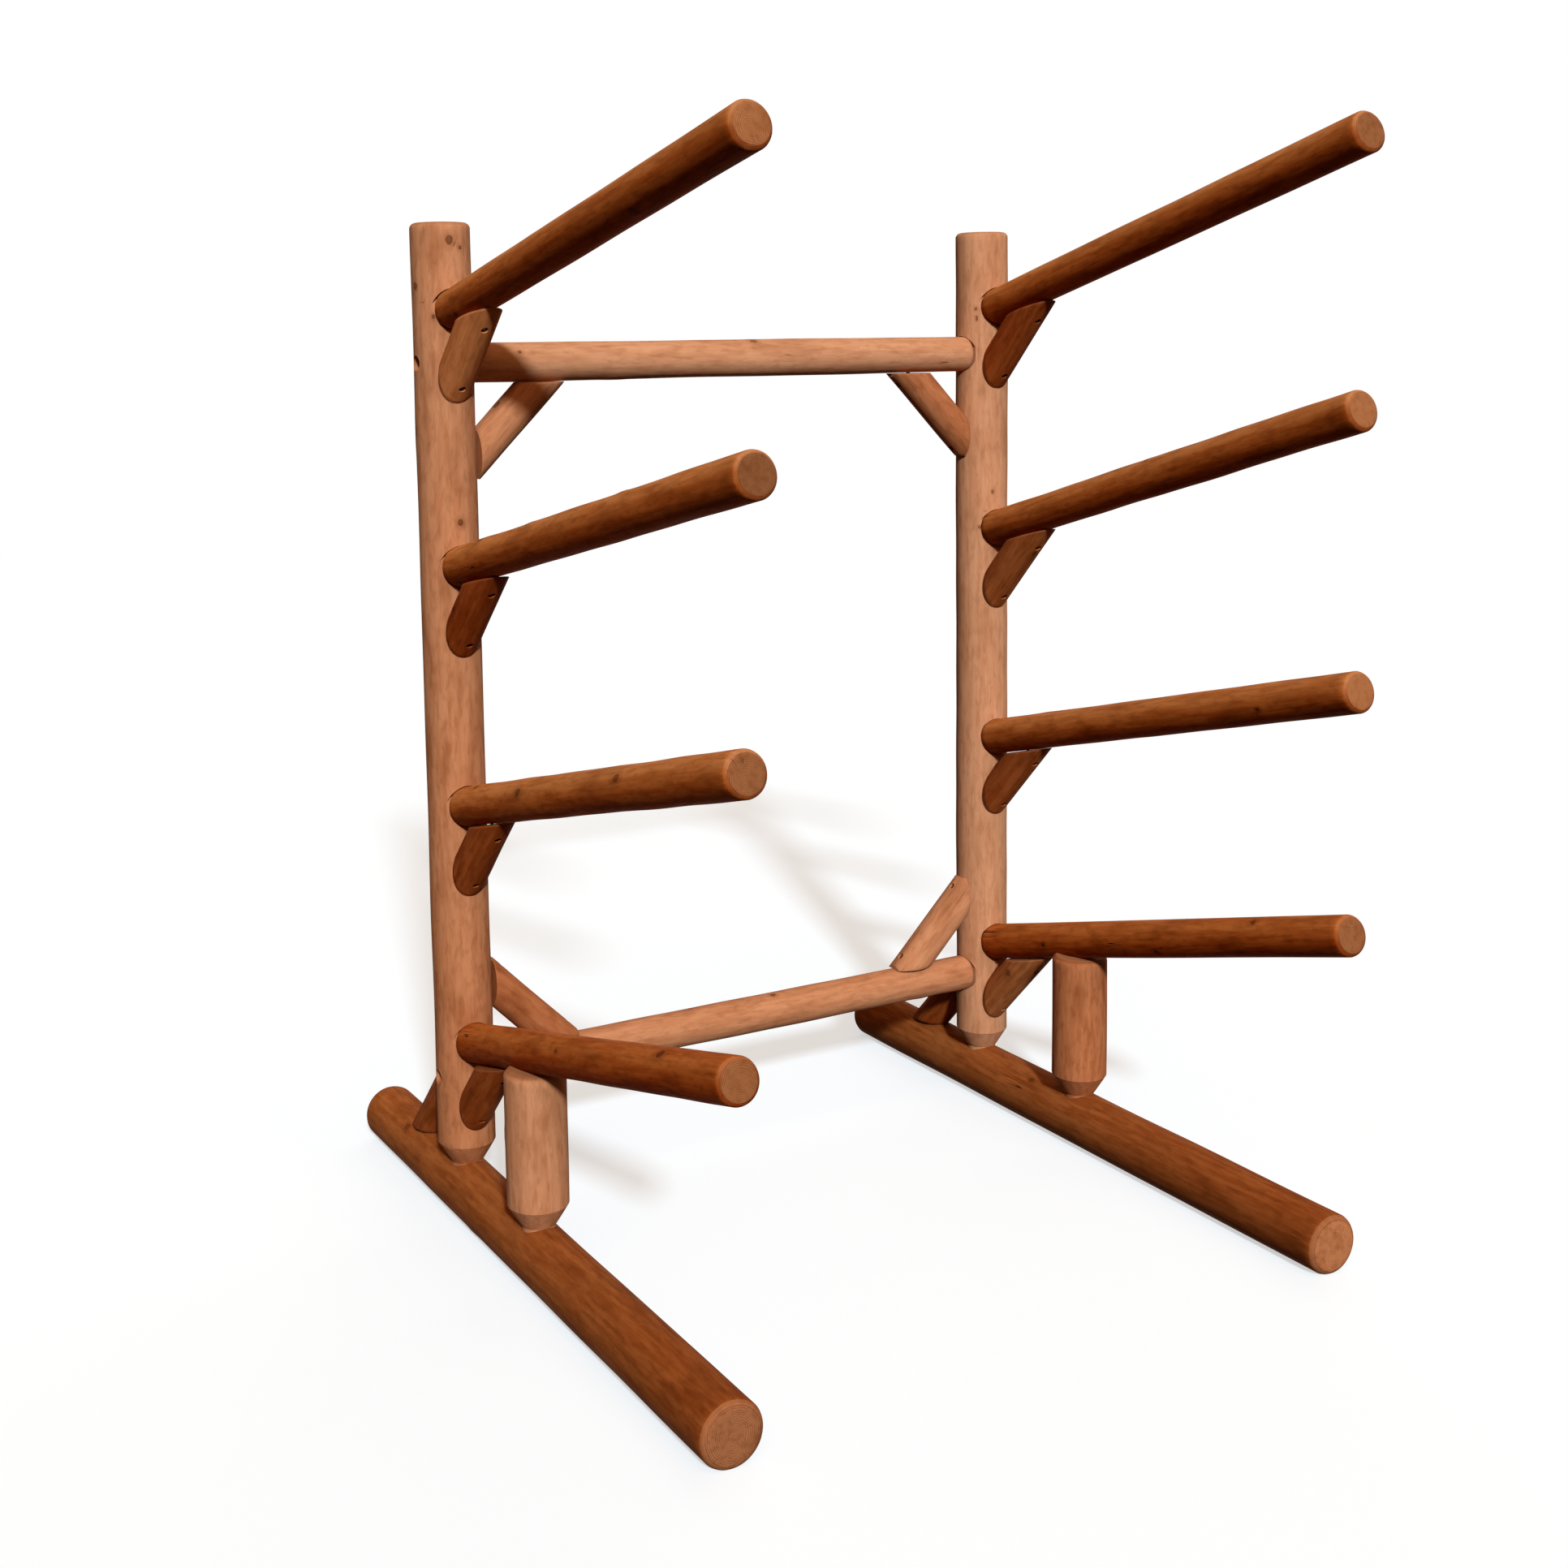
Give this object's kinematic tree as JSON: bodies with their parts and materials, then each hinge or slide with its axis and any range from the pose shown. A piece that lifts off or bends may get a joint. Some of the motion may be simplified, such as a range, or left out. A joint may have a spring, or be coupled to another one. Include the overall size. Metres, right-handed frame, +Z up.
{
  "type": "free-standing kayak rack",
  "caption": "Free-standing log rack: braced posts on base logs, tied by rails, each carrying a column of upward-sloping arms for kayaks and boards.",
  "frame": {"origin": "on the ground, under the middle of the rack's bounding box", "axes": "+Z up, +X to the right across the two posts, the arms point to -Y (the front) and the base logs' short ends to +Y (the back)"},
  "size_m": [1.333, 1.5245, 2.0209],
  "materials": {
    "frame_wood": "peeled round log, semi-transparent cedar stain, satin",
    "arm_wood": "peeled round log, cedar stain, slightly darker, satin",
    "brace_wood": "peeled round log with sawn mitres, cedar stain",
    "base_wood": "peeled round log, planed underside, cedar stain",
    "zinc_steel": "zinc-plated steel",
    "screw_steel": "bronze-coated deck screw steel"
  },
  "bodies": {
    "root": {"post_left": "frame_wood", "post_right": "frame_wood", "base_log_left": "base_wood", "base_log_right": "base_wood", "short_post_left": "frame_wood", "short_post_right": "frame_wood", "top_rail": "frame_wood", "bottom_rail": "frame_wood", "arm_left_1": "arm_wood", "arm_left_2": "arm_wood", "arm_left_3": "arm_wood", "arm_left_4": "arm_wood", "arm_right_1": "arm_wood", "arm_right_2": "arm_wood", "arm_right_3": "arm_wood", "arm_right_4": "arm_wood", "arm_brace_left_1": "brace_wood", "arm_brace_left_2": "brace_wood", "arm_brace_left_3": "brace_wood", "arm_brace_left_4": "brace_wood", "arm_brace_right_1": "brace_wood", "arm_brace_right_2": "brace_wood", "arm_brace_right_3": "brace_wood", "arm_brace_right_4": "brace_wood", "corner_brace_top_left": "brace_wood", "corner_brace_top_right": "brace_wood", "corner_brace_bottom_left": "brace_wood", "corner_brace_bottom_right": "brace_wood", "rear_brace_left": "brace_wood", "rear_brace_right": "brace_wood", "arm_lag_screws": "zinc_steel", "arm_lag_washers": "zinc_steel", "rail_lag_screws": "zinc_steel", "rail_lag_washers": "zinc_steel", "foot_lag_screws": "zinc_steel", "foot_lag_washers": "zinc_steel", "arm_brace_screws": "screw_steel", "corner_brace_screws": "screw_steel", "rear_brace_screws": "screw_steel"}
  },
  "joints": []
}
